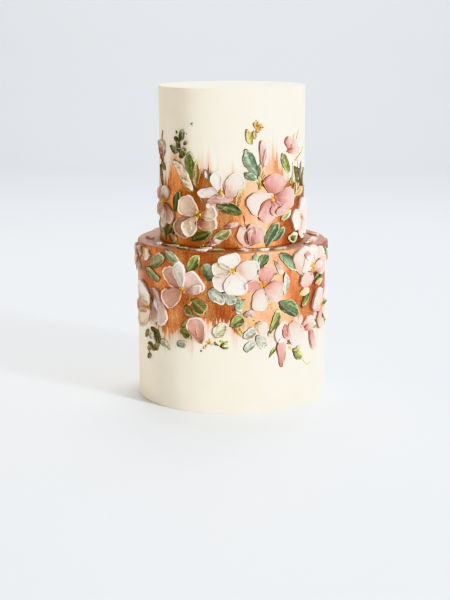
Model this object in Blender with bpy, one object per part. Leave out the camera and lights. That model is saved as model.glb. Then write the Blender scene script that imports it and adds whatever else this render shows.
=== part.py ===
"""Two-tier round cake with buttercream flowers and leaves spread on with a palette knife.

Metres, +Z up. The origin is the middle of the lower tier's underside, and the front faces -Y.
A place on a tier's side is a pair: the distance along the side, counted round to the right
from the front at that tier's radius, and the height above that tier's foot.
"""

import math
import random
from collections import namedtuple

import bmesh
import bpy

# Driving dimensions
LOWER_RADIUS = 0.107
LOWER_HEIGHT = 0.178
UPPER_RADIUS = 0.0817
UPPER_HEIGHT = 0.172
RIM_ROUNDING = 0.0016
GAP = 0.0003

# Buttercream petals: how far they stand out from the side
PETAL_ROOT_CREST = 0.0016
PETAL_TIP_CREST = 0.0042
PETAL_DISH_SHARE = 0.5
PETAL_TAPER = 0.3
CREST_INSET = 0.88

# Buttercream leaves and the eye of a flower
LEAF_EDGE = 0.001
LEAF_RIB = 0.002
LEAF_WAVE = 0.0003
LEAF_POINT = 1.4
EYE_RADIUS = 0.0035
EYE_HEIGHT = 0.0034
EYE_TOP_SHARE = 0.75
LEAF_RIB_PLACES = (0.33, 0.67)
SHARP_ANGLE = math.radians(30)

# How deep pieces start inside the tier before they are fused or fitted to it
ROOT_DEPTH = 0.001
DEPTH_STEP = 0.0003

# Facets, and what is merged where the strokes cross
MERGE_DISTANCE = 0.00002
KEPT_FACES = 0.65
TIER_FACETS = 48
RIM_STEPS = 2
PETAL_SIDES = 8
LEAF_SIDES = 8
EYE_SIDES = 6

# The back carries the front's open flowers, turned half-way round and shifted a little,
# and some of its leaves
BACK_SEED = 7
BACK_SHIFT = 0.0012
BACK_LEAF_SHARE = 0.55
OPEN_FLOWER_PETALS = 4
LEAF_CLEARANCE = 0.0008
OUTLINE_SAMPLES = 32
OUTLINE_SHARES = (1.0, 0.5)
TRIM_STEPS = 12

Tier = namedtuple("Tier", "name radius foot height")
Flower = namedtuple("Flower", "colour eye petals")

LOWER = Tier("lower", LOWER_RADIUS, 0.0, LOWER_HEIGHT)
UPPER = Tier("upper", UPPER_RADIUS, LOWER_HEIGHT + GAP, UPPER_HEIGHT - GAP)

# Colours of the pieces: base colour, roughness
COLOURS = {
    "ivory": ((0.90, 0.86, 0.76), 0.55),
    "white": ((0.90, 0.84, 0.80), 0.5),
    "blush": ((0.82, 0.62, 0.57), 0.5),
    "dusty": ((0.62, 0.38, 0.33), 0.5),
}

# Flowers, from the bottom stroke to the top one.
# A petal is root along, root up, tip along, tip up, width.
UPPER_FLOWERS = [
    Flower("dusty", (-0.093, 0.045), [
        (-0.094, 0.044, -0.113, 0.031, 0.014),
        (-0.094, 0.046, -0.110, 0.057, 0.014),
        (-0.092, 0.046, -0.086, 0.063, 0.016),
        (-0.091, 0.044, -0.074, 0.024, 0.016),
        (-0.094, 0.042, -0.092, 0.017, 0.014),
    ]),
    Flower("blush", (-0.037, 0.035), [
        (-0.047, 0.033, -0.063, 0.011, 0.022),
        (-0.038, 0.037, -0.061, 0.050, 0.022),
        (-0.039, 0.033, -0.054, 0.014, 0.018),
        (-0.040, 0.026, -0.015, 0.027, 0.014),
        (-0.036, 0.036, -0.017, 0.038, 0.014),
    ]),
    Flower("white", (-0.013, 0.061), [
        (-0.008, 0.057, -0.037, 0.060, 0.012),
        (-0.003, 0.051, -0.027, 0.048, 0.008),
        (0.002, 0.053, -0.025, 0.052, 0.010),
        (-0.014, 0.061, -0.018, 0.084, 0.013),
        (-0.007, 0.053, 0.008, 0.082, 0.020),
    ]),
    Flower("blush", (0.046, 0.054), [
        (0.046, 0.056, 0.050, 0.080, 0.027),
        (0.048, 0.055, 0.077, 0.050, 0.022),
        (0.047, 0.056, 0.015, 0.047, 0.025),
        (0.045, 0.053, 0.035, 0.028, 0.022),
        (0.047, 0.052, 0.054, 0.034, 0.018),
        (0.073, 0.046, 0.049, 0.038, 0.011),
    ]),
    Flower("blush", (0.020, 0.005), [
        (0.018, 0.002, 0.010, 0.026, 0.012),
        (0.021, 0.003, 0.021, 0.027, 0.012),
        (0.023, 0.003, 0.030, 0.024, 0.016),
        (0.019, 0.003, 0.015, 0.023, 0.009),
    ]),
    Flower("white", (0.098, 0.027), [
        (0.099, 0.027, 0.119, 0.032, 0.016),
        (0.098, 0.025, 0.112, 0.009, 0.014),
        (0.098, 0.028, 0.103, 0.049, 0.020),
        (0.096, 0.024, 0.094, 0.004, 0.012),
        (0.097, 0.027, 0.074, 0.026, 0.022),
    ]),
    Flower("blush", (0.073, 0.103), [
        (0.071, 0.102, 0.066, 0.119, 0.009),
        (0.072, 0.103, 0.081, 0.114, 0.010),
        (0.065, 0.101, 0.087, 0.104, 0.007),
    ]),
    Flower("blush", (-0.098, 0.092), [
        (-0.099, 0.090, -0.103, 0.112, 0.008),
        (-0.097, 0.090, -0.093, 0.113, 0.009),
    ]),
    Flower("dusty", (0.035, 0.088), [
        (0.037, 0.087, 0.038, 0.108, 0.007),
        (0.034, 0.086, 0.033, 0.117, 0.008),
    ]),
]

LOWER_FLOWERS = [
    Flower("blush", (-0.146, 0.162), [
        (-0.147, 0.162, -0.162, 0.171, 0.013),
        (-0.147, 0.161, -0.163, 0.153, 0.014),
        (-0.145, 0.160, -0.138, 0.145, 0.014),
        (-0.145, 0.163, -0.131, 0.171, 0.013),
    ]),
    Flower("white", (-0.113, 0.110), [
        (-0.110, 0.125, -0.087, 0.120, 0.013),
        (-0.089, 0.124, -0.085, 0.092, 0.013),
        (-0.097, 0.123, -0.093, 0.095, 0.010),
        (-0.106, 0.105, -0.137, 0.088, 0.019),
        (-0.112, 0.108, -0.142, 0.107, 0.018),
        (-0.105, 0.118, -0.101, 0.091, 0.012),
        (-0.105, 0.112, -0.138, 0.129, 0.021),
    ]),
    Flower("dusty", (-0.056, 0.135), [
        (-0.057, 0.136, -0.076, 0.158, 0.020),
        (-0.055, 0.135, -0.035, 0.149, 0.025),
        (-0.057, 0.137, -0.060, 0.165, 0.014),
        (-0.056, 0.134, -0.081, 0.121, 0.020),
    ]),
    Flower("white", (0.001, 0.158), [
        (0.003, 0.158, 0.026, 0.159, 0.018),
        (0.000, 0.160, -0.005, 0.176, 0.023),
        (-0.001, 0.158, -0.022, 0.163, 0.015),
        (-0.001, 0.156, -0.018, 0.140, 0.018),
        (0.002, 0.156, 0.003, 0.132, 0.022),
    ]),
    Flower("blush", (0.034, 0.142), [
        (0.033, 0.142, 0.0175, 0.142, 0.012),
        (0.033, 0.140, 0.027, 0.114, 0.018),
        (0.035, 0.144, 0.039, 0.162, 0.018),
        (0.036, 0.141, 0.055, 0.131, 0.022),
    ]),
    Flower("white", (0.103, 0.157), [
        (0.1035, 0.1595, 0.126, 0.171, 0.015),
        (0.1045, 0.157, 0.136, 0.159, 0.014),
        (0.104, 0.153, 0.132, 0.149, 0.011),
        (0.101, 0.154, 0.093, 0.133, 0.025),
        (0.103, 0.159, 0.101, 0.176, 0.020),
        (0.102, 0.161, 0.080, 0.174, 0.018),
        (0.101, 0.157, 0.072, 0.159, 0.022),
    ]),
    Flower("white", (0.127, 0.107), [
        (0.128, 0.108, 0.150, 0.121, 0.018),
        (0.128, 0.106, 0.148, 0.090, 0.016),
        (0.126, 0.106, 0.120, 0.083, 0.018),
        (0.126, 0.108, 0.106, 0.117, 0.024),
    ]),
    Flower("blush", (0.072, 0.094), [
        (0.055, 0.082, 0.056, 0.049, 0.010),
        (0.098, 0.093, 0.107, 0.061, 0.011),
        (0.060, 0.102, 0.051, 0.077, 0.014),
        (0.080, 0.087, 0.104, 0.098, 0.013),
        (0.069, 0.099, 0.080, 0.073, 0.025),
        (0.060, 0.098, 0.063, 0.079, 0.009),
    ]),
    Flower("dusty", (-0.038, 0.083), [
        (-0.034, 0.079, -0.043, 0.107, 0.019),
    ]),
]

# Leaves as large as a petal. A leaf is stem along, stem up, tip along, tip up, width.
UPPER_LEAVES = [
    (-0.072, 0.037, -0.062, 0.060, 0.010),
    (-0.088, 0.008, -0.074, 0.025, 0.009),
    (-0.089, 0.005, -0.104, 0.018, 0.011),
    (-0.046, 0.069, -0.051, 0.103, 0.012),
    (-0.040, 0.062, -0.041, 0.093, 0.008),
    (-0.045, 0.008, -0.022, 0.018, 0.010),
    (-0.020, 0.009, -0.004, 0.020, 0.010),
    (0.010, 0.038, -0.016, 0.044, 0.010),
    (0.012, 0.083, 0.027, 0.072, 0.008),
    (0.028, 0.077, 0.013, 0.107, 0.013),
    (0.038, 0.002, 0.052, 0.026, 0.013),
    (0.070, 0.079, 0.057, 0.100, 0.009),
    (0.084, 0.054, 0.099, 0.062, 0.008),
    (0.103, 0.062, 0.085, 0.080, 0.008),
    (0.070, 0.005, 0.087, 0.009, 0.010),
    (-0.045, 0.064, -0.070, 0.093, 0.010),
    (-0.053, 0.097, -0.060, 0.126, 0.008),
    (0.015, 0.109, 0.022, 0.127, 0.008),
]

LOWER_LEAVES = [
    (-0.108, 0.155, -0.081, 0.169, 0.014),
    (-0.118, 0.151, -0.088, 0.142, 0.012),
    (-0.081, 0.176, -0.060, 0.164, 0.011),
    (-0.122, 0.168, -0.107, 0.168, 0.014),
    (-0.050, 0.155, -0.037, 0.174, 0.012),
    (-0.022, 0.147, -0.029, 0.167, 0.012),
    (-0.044, 0.125, -0.029, 0.113, 0.015),
    (-0.024, 0.139, -0.010, 0.125, 0.012),
    (0.008, 0.131, 0.009, 0.114, 0.010),
    (-0.018, 0.086, -0.008, 0.102, 0.013),
    (-0.058, 0.089, -0.045, 0.092, 0.013),
    (-0.104, 0.088, -0.091, 0.077, 0.009),
    (-0.092, 0.084, -0.095, 0.066, 0.009),
    (-0.110, 0.078, -0.098, 0.078, 0.011),
    (-0.087, 0.074, -0.074, 0.068, 0.010),
    (0.030, 0.164, 0.038, 0.176, 0.010),
    (0.061, 0.130, 0.061, 0.153, 0.008),
    (0.054, 0.176, 0.075, 0.157, 0.011),
    (0.053, 0.122, 0.079, 0.107, 0.013),
    (0.043, 0.088, 0.052, 0.114, 0.009),
    (-0.002, 0.097, 0.012, 0.109, 0.012),
    (0.013, 0.086, 0.025, 0.094, 0.009),
    (0.012, 0.075, 0.025, 0.077, 0.011),
    (0.027, 0.087, 0.037, 0.075, 0.010),
    (0.071, 0.067, 0.085, 0.053, 0.011),
    (0.097, 0.130, 0.087, 0.112, 0.009),
    (0.106, 0.140, 0.134, 0.146, 0.008),
    (0.125, 0.173, 0.158, 0.160, 0.012),
]


def clear_scene():
    for thing in list(bpy.data.objects):
        bpy.data.objects.remove(thing, do_unlink=True)


def make_materials():
    """One Principled material for each colour of buttercream."""
    materials = {}
    for name, (colour, roughness) in COLOURS.items():
        material = bpy.data.materials.new(name)
        material.use_nodes = True
        shader = material.node_tree.nodes["Principled BSDF"]
        shader.inputs["Base Color"].default_value = (*colour, 1.0)
        shader.inputs["Roughness"].default_value = roughness
        shader.inputs["Metallic"].default_value = 0.0
        materials[name] = material
    return materials


def mesh_object(name, points, faces):
    """A mesh object from points and faces, linked to the scene."""
    mesh = bpy.data.meshes.new(name)
    mesh.from_pydata(points, [], faces)
    thing = bpy.data.objects.new(name, mesh)
    bpy.context.scene.collection.objects.link(thing)
    return thing


def on_side(tier, along, up, out):
    """A point on a tier's side, lifted out from it."""
    angle = along / tier.radius
    radius = tier.radius + out
    return radius * math.sin(angle), -radius * math.cos(angle), tier.foot + up


def lay_out(stroke, u, v):
    """A place in a stroke: u runs from its root to its tip, v across it from -1 to 1."""
    along0, up0, along1, up1, width = stroke
    length = math.hypot(along1 - along0, up1 - up0)
    run, rise = (along1 - along0) / length, (up1 - up0) / length
    across = v * width / 2
    return along0 + u * length * run - across * rise, up0 + u * length * rise + across * run


def petal_outline(turn):
    """A round petal that narrows towards its root: turn is 0 at the root and pi at the tip."""
    return (1 - math.cos(turn)) / 2, math.sin(turn) * (1 - PETAL_TAPER * math.cos(turn))


def leaf_outline(turn):
    """A leaf with a point at both ends."""
    side = math.sin(turn)
    return (1 - math.cos(turn)) / 2, math.copysign(abs(side) ** LEAF_POINT, side)


def ring_faces(start, sides, flat):
    """Quads, or triangles where they aren't flat, between the ring at start and the next ring."""
    faces = []
    for k in range(sides):
        a, b = start + k, start + (k + 1) % sides
        if flat:
            faces.append((a, b, b + sides, a + sides))
        else:
            faces += [(a, b, b + sides), (a, b + sides, a + sides)]
    return faces


def fan_faces(start, sides, middle, outward):
    """Triangles between a ring and its middle point."""
    pairs = [(start + k, start + (k + 1) % sides) for k in range(sides)]
    return [(a, b, middle) if outward else (b, a, middle) for a, b in pairs]


def ringed_solid(name, rings, bottom, top, flat=False):
    """A closed solid of stacked rings with a point in the middle of each end."""
    sides = len(rings[0])
    points = [point for ring in rings for point in ring] + [bottom, top]
    faces = fan_faces(0, sides, len(points) - 2, False)
    for level in range(len(rings) - 1):
        faces += ring_faces(level * sides, sides, flat)
    faces += fan_faces((len(rings) - 1) * sides, sides, len(points) - 1, True)
    return mesh_object(name, points, faces)


def turns(sides):
    """Angles round an outline, so that its face looks out from the tier."""
    return [2 * math.pi * k / sides for k in range(sides)]


def make_petal(name, tier, stroke, depth):
    """A dab of buttercream: a raised crest near its edge round a dished middle."""

    def crest(u):
        return PETAL_ROOT_CREST + (PETAL_TIP_CREST - PETAL_ROOT_CREST) * u

    foot, ridge = [], []
    for turn in turns(PETAL_SIDES):
        u, v = petal_outline(-turn)
        inner_u, inner_v = 0.5 + (u - 0.5) * CREST_INSET, v * CREST_INSET
        foot.append(on_side(tier, *lay_out(stroke, u, v), -depth))
        ridge.append(on_side(tier, *lay_out(stroke, inner_u, inner_v), crest(u)))
    middle = lay_out(stroke, 0.5, 0.0)
    dish = on_side(tier, *middle, PETAL_DISH_SHARE * crest(0.5))
    return ringed_solid(name, [foot, ridge], on_side(tier, *middle, -depth), dish)


def make_eye(name, tier, eye, depth):
    """The low dome of stamens in the middle of a flower."""
    rings = []
    for share, out in ((1.0, -depth), (EYE_TOP_SHARE, EYE_HEIGHT)):
        ring = []
        for turn in turns(EYE_SIDES):
            along = eye[0] + share * EYE_RADIUS * math.cos(turn)
            up = eye[1] + share * EYE_RADIUS * math.sin(turn)
            ring.append(on_side(tier, along, up, out))
        rings.append(ring)
    return ringed_solid(name, rings, on_side(tier, *eye, -depth), on_side(tier, *eye, EYE_HEIGHT))


def make_leaf(name, tier, stroke, depth):
    """A thin wavy leaf with a rib along its middle, rooted in the tier."""
    foot, edge = [], []
    for k, turn in enumerate(turns(LEAF_SIDES)):
        u, v = leaf_outline(-turn)
        wave = LEAF_WAVE * (1 if k % 2 else -1)
        foot.append(on_side(tier, *lay_out(stroke, u, v), -depth))
        edge.append(on_side(tier, *lay_out(stroke, u, v), LEAF_EDGE + wave))
    ribs = [on_side(tier, *lay_out(stroke, u, 0.0), LEAF_RIB) for u in LEAF_RIB_PLACES]
    under = on_side(tier, *lay_out(stroke, 0.5, 0.0), -depth)
    points = foot + edge + ribs + [under]
    near, far, middle = 2 * LEAF_SIDES, 2 * LEAF_SIDES + 1, 2 * LEAF_SIDES + 2
    faces = fan_faces(0, LEAF_SIDES, middle, False) + ring_faces(0, LEAF_SIDES, True)
    half = LEAF_SIDES // 2
    for k in range(LEAF_SIDES):
        a, b = LEAF_SIDES + k, LEAF_SIDES + (k + 1) % LEAF_SIDES
        rib = far if half // 2 <= k < half + half // 2 else near
        faces.append((a, b, rib))
    left, right = LEAF_SIDES + half // 2, LEAF_SIDES + half + half // 2
    faces.append((left, far, near))
    faces.append((right, near, far))
    return mesh_object(name, points, faces)


def tier_profile(tier, grow):
    """Radius and height of a tier's outline, from its foot to the inside of its rounded rim."""
    profile = [(tier.radius + grow, tier.foot)]
    for step in range(RIM_STEPS + 1):
        angle = math.pi / 2 * step / RIM_STEPS
        radius = tier.radius + grow - RIM_ROUNDING * (1 - math.cos(angle))
        height = tier.foot + tier.height - RIM_ROUNDING * (1 - math.sin(angle))
        profile.append((radius, height))
    return profile


def make_tier(tier, name, grow=0.0):
    """A tier turned round its axis, its facets starting at the front."""
    rings = [
        [(r * math.sin(turn), -r * math.cos(turn), z) for turn in turns(TIER_FACETS)]
        for r, z in tier_profile(tier, grow)
    ]
    top = tier.foot + tier.height
    return ringed_solid(name, rings, (0, 0, tier.foot), (0, 0, top), flat=True)


def apply_boolean(body, operation, **operand):
    """Cut or join body at once. The petals' feet nearly coincide, which the exact solver drops."""
    modifier = body.modifiers.new(operation.title(), "BOOLEAN")
    modifier.operation = operation
    modifier.solver = "MANIFOLD"
    for setting, value in operand.items():
        setattr(modifier, setting, value)
    bpy.context.view_layer.objects.active = body
    bpy.ops.object.modifier_apply(modifier=modifier.name)


def thin_out(body):
    """Take away the slivers that crossing strokes leave."""
    modifier = body.modifiers.new("Thin out", "DECIMATE")
    modifier.ratio = KEPT_FACES
    bpy.context.view_layer.objects.active = body
    bpy.ops.object.modifier_apply(modifier=modifier.name)


def fuse(body, pieces):
    """Join pieces to body as one closed solid, and remove the pieces."""
    group = bpy.data.collections.new(body.name + "_pieces")
    for piece in pieces:
        bpy.context.scene.collection.objects.unlink(piece)
        group.objects.link(piece)
    bpy.context.scene.collection.children.link(group)
    apply_boolean(body, "UNION", operand_type="COLLECTION", collection=group)
    for piece in pieces:
        bpy.data.objects.remove(piece, do_unlink=True)
    bpy.data.collections.remove(group)


def simplify(thing):
    """Merge the slivers that fusing leaves."""
    mesh = bmesh.new()
    mesh.from_mesh(thing.data)
    bmesh.ops.remove_doubles(mesh, verts=mesh.verts, dist=MERGE_DISTANCE)
    bmesh.ops.triangulate(mesh, faces=mesh.faces)
    mesh.to_mesh(thing.data)
    mesh.free()


def finish(thing, material):
    """Give a finished solid its colour and smooth shading between its sharp edges."""
    simplify(thing)
    thing.data.materials.clear()
    thing.data.materials.append(material)
    thing.data.shade_smooth()
    thing.data.set_sharp_from_angle(angle=SHARP_ANGLE)


def make_flower(name, tier, flower, fitter):
    """Petals and eye fused, then fitted to the tier's side with a thin gap."""
    petals = []
    for k, stroke in enumerate(flower.petals):
        depth = ROOT_DEPTH + DEPTH_STEP * (k + 1)
        petals.append(make_petal(f"{name}_petal_{k}", tier, stroke, depth))
    body = make_eye(name, tier, flower.eye, ROOT_DEPTH)
    fuse(body, petals)
    thin_out(body)
    apply_boolean(body, "DIFFERENCE", object=fitter)
    return body


def turned_back(tier, flowers, leaves):
    """The front's flowers and leaves turned half-way round the tier, each a little shifted."""
    draw = random.Random(BACK_SEED)
    half_way = math.pi * tier.radius

    def moved(stroke, shift):
        along0, up0, along1, up1, width = stroke
        return along0 + shift, up0, along1 + shift, up1, width

    back_flowers = []
    for flower in flowers:
        if len(flower.petals) < OPEN_FLOWER_PETALS:
            continue
        shift = half_way + draw.uniform(-BACK_SHIFT, BACK_SHIFT)
        petals = [moved(petal, shift) for petal in flower.petals]
        eye = (flower.eye[0] + shift, flower.eye[1])
        back_flowers.append(Flower(flower.colour, eye, petals))
    back_leaves = []
    for leaf in leaves:
        if draw.random() < BACK_LEAF_SHARE:
            shift = half_way + draw.uniform(-BACK_SHIFT, BACK_SHIFT)
            back_leaves.append(moved(leaf, shift))
    return back_flowers, back_leaves


def inside_petal(stroke, along, up, margin):
    """Whether a place lies in a petal's outline or within margin of it."""
    along0, up0, along1, up1, width = stroke
    length = math.hypot(along1 - along0, up1 - up0)
    run, rise = (along1 - along0) / length, (up1 - up0) / length
    u = ((along - along0) * run + (up - up0) * rise + margin) / (length + 2 * margin)
    v = -(along - along0) * rise + (up - up0) * run
    if not 0 < u < 1:
        return False
    turn = math.acos(1 - 2 * u)
    return abs(v) < petal_outline(turn)[1] * width / 2 + margin


def is_clear(leaf, flowers):
    """Whether a leaf keeps clear of every petal and eye."""
    for turn in turns(OUTLINE_SAMPLES):
        u, v = leaf_outline(turn)
        for share in OUTLINE_SHARES:
            along, up = lay_out(leaf, u, v * share)
            for flower in flowers:
                near_eye = math.dist((along, up), flower.eye) < EYE_RADIUS + LEAF_CLEARANCE
                if near_eye or any(inside_petal(p, along, up, LEAF_CLEARANCE) for p in flower.petals):
                    return False
    return True


def trimmed(leaf, flowers):
    """The leaf shortened from its stem or its tip until it is clear, or None."""
    for step in range(TRIM_STEPS):
        cut = step / (2 * TRIM_STEPS)
        for near, far in ((cut, 1.0), (0.0, 1.0 - cut)):
            short = (*lay_out(leaf, near, 0.0), *lay_out(leaf, far, 0.0), leaf[4])
            if is_clear(short, flowers):
                return short
    return None


def dress_tier(tier, front_flowers, front_leaves, materials):
    """One tier with its leaves fused on, and its flowers as objects of their own."""
    back_flowers, back_leaves = turned_back(tier, front_flowers, front_leaves)
    flowers = front_flowers + back_flowers
    leaves = [trimmed(leaf, flowers) for leaf in front_leaves + back_leaves]
    leaves = [leaf for leaf in leaves if leaf]

    body = make_tier(tier, tier.name + "_tier")
    pieces = []
    for k, leaf in enumerate(leaves):
        depth = ROOT_DEPTH + DEPTH_STEP * (k % 3)
        pieces.append(make_leaf(f"{tier.name}_leaf_{k}", tier, leaf, depth))
    fuse(body, pieces)
    finish(body, materials["ivory"])

    fitter = make_tier(tier, tier.name + "_fitter", GAP)
    for k, flower in enumerate(flowers):
        made = make_flower(f"{tier.name}_flower_{k + 1:02d}", tier, flower, fitter)
        finish(made, materials[flower.colour])
    bpy.data.objects.remove(fitter, do_unlink=True)


def main():
    clear_scene()
    materials = make_materials()
    dress_tier(LOWER, LOWER_FLOWERS, LOWER_LEAVES, materials)
    dress_tier(UPPER, UPPER_FLOWERS, UPPER_LEAVES, materials)


main()
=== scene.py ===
"""Finish of a two-tier buttercream cake: scraped icing, a brushed copper band, knife-spread flowers.

The frame is loaded first. Each operator then makes its pieces round it, and the last one sets the
floor, the lights and the camera.

A place on a tier's side is a pair in millimetres: along, the distance counted round to the right
from the front at that tier's radius, and up, the height above that tier's foot. out is the height
above the side. A place on the ledge is x and y from the cake's axis, and out is upwards.
"""

import math
import random
from collections import namedtuple

import bpy
import numpy as np
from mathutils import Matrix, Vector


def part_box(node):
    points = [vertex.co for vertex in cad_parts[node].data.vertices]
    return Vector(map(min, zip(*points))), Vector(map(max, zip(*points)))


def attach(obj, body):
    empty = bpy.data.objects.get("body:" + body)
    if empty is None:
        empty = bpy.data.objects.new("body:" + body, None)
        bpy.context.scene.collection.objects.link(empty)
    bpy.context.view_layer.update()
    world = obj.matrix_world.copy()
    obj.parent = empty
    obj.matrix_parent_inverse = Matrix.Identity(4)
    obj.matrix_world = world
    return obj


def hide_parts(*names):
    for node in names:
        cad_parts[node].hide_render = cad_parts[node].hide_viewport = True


bl_info = {
    "name": "Knife-painted buttercream cake",
    "version": (1, 0, 0),
    "blender": (4, 5, 0),
    "location": "3D View > Sidebar > Cake",
    "description": "Ices a two-tier cake and spreads buttercream flowers and leaves on it",
    "category": "Object",
}

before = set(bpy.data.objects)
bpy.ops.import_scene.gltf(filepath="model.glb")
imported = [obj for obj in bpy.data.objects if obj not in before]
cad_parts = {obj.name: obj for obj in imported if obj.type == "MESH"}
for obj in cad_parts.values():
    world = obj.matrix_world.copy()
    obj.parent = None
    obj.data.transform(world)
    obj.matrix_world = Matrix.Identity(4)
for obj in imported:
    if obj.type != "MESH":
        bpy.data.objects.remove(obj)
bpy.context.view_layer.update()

MM = 0.001
LOWER_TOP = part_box("lower_tier")[1][2]
UPPER_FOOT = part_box("upper_tier")[0][2]
UPPER_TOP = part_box("upper_tier")[1][2]
LOWER_RADIUS = 107.0
UPPER_RADIUS = 81.7

# Colours of the buttercream as sRGB codes.
# A petal's are at its root, over its body and on its rim.
# snow and blossom are lighter blends, laid on several petals on the dim left partly as painted light
PETAL_BLENDS = {
    "snow": ("E6D6C8", "FDF5EC", "FFFDF8"),
    "white": ("B89888", "DCCDC2", "FFFCF6"),
    "pearl": ("AE9C84", "CABDA8", "FAF4E8"),
    "shell": ("A87264", "CCA599", "FFF4EC"),
    "blossom": ("C08C7A", "EFCFC2", "FFF6EE"),
    "blush": ("9A5E50", "C08F86", "FDEBE2"),
    "rose": ("905A4C", "B6827A", "FAE0D6"),
    "salmon": ("9E5E52", "C28880", "F8D8CE"),
    "dusty": ("94583E", "C29074", "FCEADC"),
    "mauve": ("A0644F", "D4A08C", "FCE8DC"),
    "tan": ("A06E4E", "E2C6B0", "FFFBF0"),
    "cream": ("C8A07A", "F6E0C6", "FFFBF2"),
    "butter": ("CFB074", "EAD2A0", "FAEECC"),
    "lilac": ("B49A94", "E6D8D4", "FFF8F4"),
    "lavender": ("846C60", "AE988E", "F0E2D8"),
}
# A leaf's are on one side of its rib, on the other side and on its rim.
LEAF_BLENDS = {
    "forest": ("2E3814", "545E2A", "BEBA88"),
    "fern": ("545E2C", "828A4C", "D0D0A0"),
    "olive": ("5E5628", "8A804C", "D2C89E"),
    "sage": ("7E7E52", "A3A070", "E2DDBE"),
    "mint": ("6C8062", "93A481", "E2E6CE"),
    "sea": ("4A5F49", "76896C", "D2DCC2"),
    "pistachio": ("98A480", "C0C8A2", "ECEED6"),
    "grey_green": ("97998A", "B6B8A9", "ECEBDC"),
    "teal": ("2F3D23", "566C40", "B9C59E"),
    "bright": ("4E5A1E", "848E40", "D8D898"),
    "ochre": ("A1763C", "CEAC72", "F0DEB2"),
    "gold_green": ("847A3A", "B8AA64", "E6DEAC"),
    "lime_forest": ("4A5224", "9CA25E", "D8D89C"),
    "mint_forest": ("A9B492", "3E491D", "DDE2C4"),
    "fern_mint": ("6F866A", "40522F", "C8D0B0"),
    "pale": ("B3B188", "D8D4B6", "F6F2DE"),
    "stem": ("665F38", "8C8454", "C4B888"),
}

# Rings of points round a dab, as shares of the way from its middle to its outline
FINE_RINGS = (1.0, 0.992, 0.98, 0.965, 0.95, 0.935, 0.92, 0.905, 0.885, 0.86, 0.82, 0.76, 0.68,
              0.58, 0.46, 0.33, 0.18)
PLAIN_RINGS = (1.0, 0.985, 0.965, 0.94, 0.915, 0.88, 0.82, 0.72, 0.58, 0.4, 0.2)
FEW_RINGS = (1.0, 0.95, 0.8, 0.45)

# How a touch of the knife stands out from the side, in millimetres: its height at its root and
# its tip, the share of that in its hollow, the ridge on its rim, the depth of its rib, how much
# its outline wanders, its narrowing to the root, the power that points its ends, its sides and
# its rings.
Form = namedtuple("Form", "root tip hollow ridge rib wander taper point sides rings")
FORMS = {
    "petal": Form(1.1, 3.0, 0.15, 0.8, 0.0, 0.032, 0.30, 1.0, 48, FINE_RINGS),
    "leaf": Form(0.9, 1.6, 0.35, 0.30, 0.35, 0.04, 0.05, 1.25, 32, PLAIN_RINGS),
    "pad": Form(1.1, 1.9, 0.30, 0.35, 0.0, 0.05, 0.15, 1.0, 32, PLAIN_RINGS),
    "stem": Form(0.6, 0.6, 0.95, 0.00, 0.0, 0.020, 0.00, 0.6, 14, FEW_RINGS),
}
# Where the rim starts and how wide its ridge and a leaf's rib are, as shares; the power by which
# the hollow climbs; how the crest gains in places, by the swell and by the lumps on its rim
RIM_SHARE = 0.93
RIDGE_WIDTH = 0.045
RIB_WIDTH = 0.09
BOWL_POWER = 2.6
SWELL = 0.09
LUMPS = (0.3, 0.25)
# How far a foot is sunk and how far one layer clears the next, in mm. Above the height from which
# it is eased, a pile of layers comes ever closer to the proudest.
SUNK = 0.25
LAYER_STEP = 0.1
EASED_FROM = 2.9
PROUDEST = 3.95
# What is drawn for each dab: how far its thick side strays from its tip, as an angle, its share of
# the taper, and how closely its grooves follow each other
THICK_SIDE_STRAY = 1.3
TAPER_SHARES = (0.6, 1.5)
GROOVE_PITCHES = (14, 24)
# The painted shade in the crease inside the rim: how dark, how far in from the outline and how
# wide, in mm, and the width of a dab that has all of it
CREASE_SHADE = 0.26
CREASE_DEPTH = 2.0
CREASE_WIDTH = 0.7
CREASE_FULL = 18
# Colour of the painted shadow along the foot of a dab, where it meets what it lies on
FOOT_SHADOW_COLOUR = "5A2E1C"

# A petal or leaf: along and up of its root, then of its tip, its width, its blend, and how far
# the middle of its path bends to the left.
Stroke = namedtuple("Stroke", "along0 up0 along1 up1 width blend bend", defaults=(0.0,))
Flower = namedtuple("Flower", "slot eye stamens petals")


def strokes(*rows):
    """A Stroke from each row."""
    return [Stroke(*row) for row in rows]


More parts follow.
